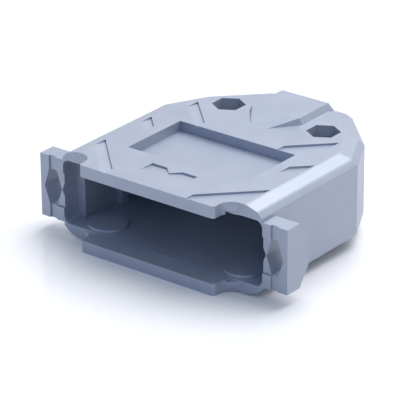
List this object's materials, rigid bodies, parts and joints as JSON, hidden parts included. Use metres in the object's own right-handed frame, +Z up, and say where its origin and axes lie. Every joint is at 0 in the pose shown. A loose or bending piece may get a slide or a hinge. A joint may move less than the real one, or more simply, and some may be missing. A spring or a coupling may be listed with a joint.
{
  "type": "d-sub connector hood",
  "caption": "Two-shell straight cable hood for a 25-way D-sub connector, with jackscrew ears, flange lips, label recess and an inner cable clamp.",
  "frame": {"origin": "middle of the footprint, at the height of the lowest point, which is the raised cable bay under the lower shell", "axes": "+X across the connector, towards the right ear seen from the mouth; the mouth faces -Y; the cable leaves along +Y; +Z up, square to the parting plane"},
  "size_m": [0.0524, 0.0472, 0.0183],
  "materials": {
    "shell": "satin blue-grey metallised coat on moulded ABS",
    "fastener": "bright zinc-plated steel",
    "clamp": "pressed nickel-plated steel strip"
  },
  "bodies": {
    "root": {"upper_shell": "shell", "lower_shell": "shell", "left_shell_screw": "fastener", "right_shell_screw": "fastener", "left_shell_nut": "fastener", "right_shell_nut": "fastener", "cable_clamp_upper": "clamp", "cable_clamp_lower": "clamp", "left_clamp_screw": "fastener", "right_clamp_screw": "fastener", "left_clamp_nut": "fastener", "right_clamp_nut": "fastener"}
  },
  "joints": []
}
